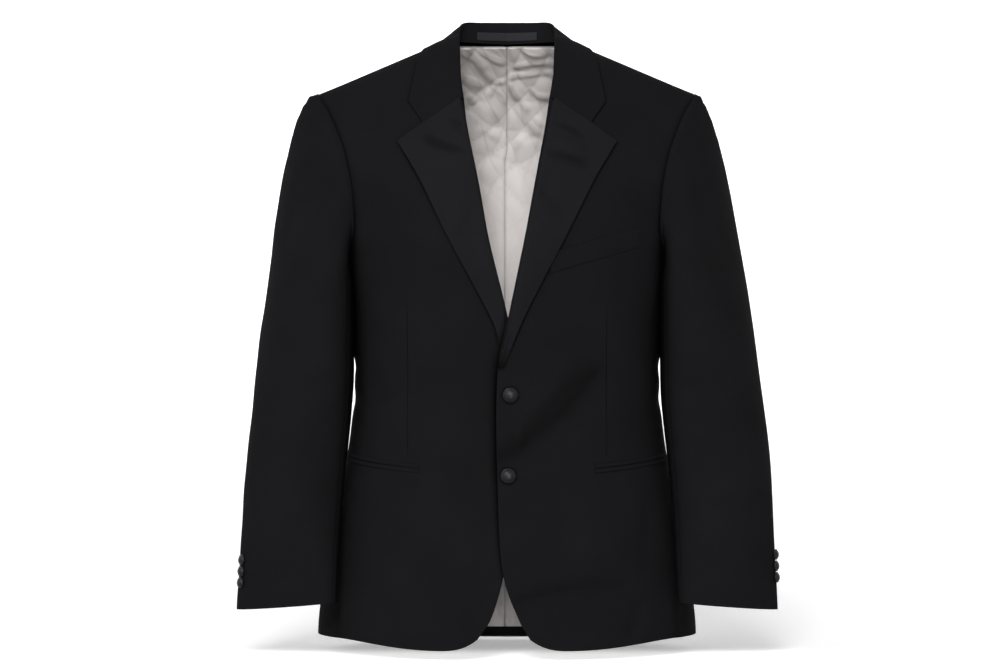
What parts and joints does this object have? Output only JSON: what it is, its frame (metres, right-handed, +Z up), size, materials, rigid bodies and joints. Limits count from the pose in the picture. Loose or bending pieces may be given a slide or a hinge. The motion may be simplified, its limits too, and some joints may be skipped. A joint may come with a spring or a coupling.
{
  "type": "suit jacket",
  "caption": "Man's dark single-breasted suit jacket, filled out as if worn, with notch lapels, fastened front, jetted pockets, breast welt and a pale back lining.",
  "frame": {"origin": "where the wearer's shoulders hold it: centre of the neck, at the height where the shoulder seams meet the collar", "axes": "+Z up, -Y out of the front, +X towards the wearer's left"},
  "size_m": [0.6661, 0.2855, 0.7871],
  "materials": {
    "suiting": "matte worsted wool",
    "facing": "smooth, slightly glossy facing",
    "lining": "pale warm grey satin",
    "label_strip": "bare woven strip",
    "buttons": "cloth-covered dome"
  },
  "bodies": {
    "root": {"front_left": "suiting", "side_panel_left": "suiting", "back_left": "suiting", "top_sleeve_left": "suiting", "under_sleeve_left": "suiting", "lapel_left": "facing", "back_lining_left": "lining", "hip_jet_upper_left": "suiting", "hip_jet_lower_left": "suiting", "cuff_button_left_1": "buttons", "cuff_button_left_2": "buttons", "cuff_button_left_3": "buttons", "front_right": "suiting", "side_panel_right": "suiting", "back_right": "suiting", "top_sleeve_right": "suiting", "under_sleeve_right": "suiting", "lapel_right": "facing", "back_lining_right": "lining", "hip_jet_upper_right": "suiting", "hip_jet_lower_right": "suiting", "cuff_button_right_1": "buttons", "cuff_button_right_2": "buttons", "cuff_button_right_3": "buttons", "collar_leaf": "suiting", "collar_stand": "suiting", "label_strip": "label_strip", "breast_welt": "suiting", "back_hem_band": "suiting", "front_button_upper": "buttons", "front_button_lower": "buttons"}
  },
  "joints": []
}
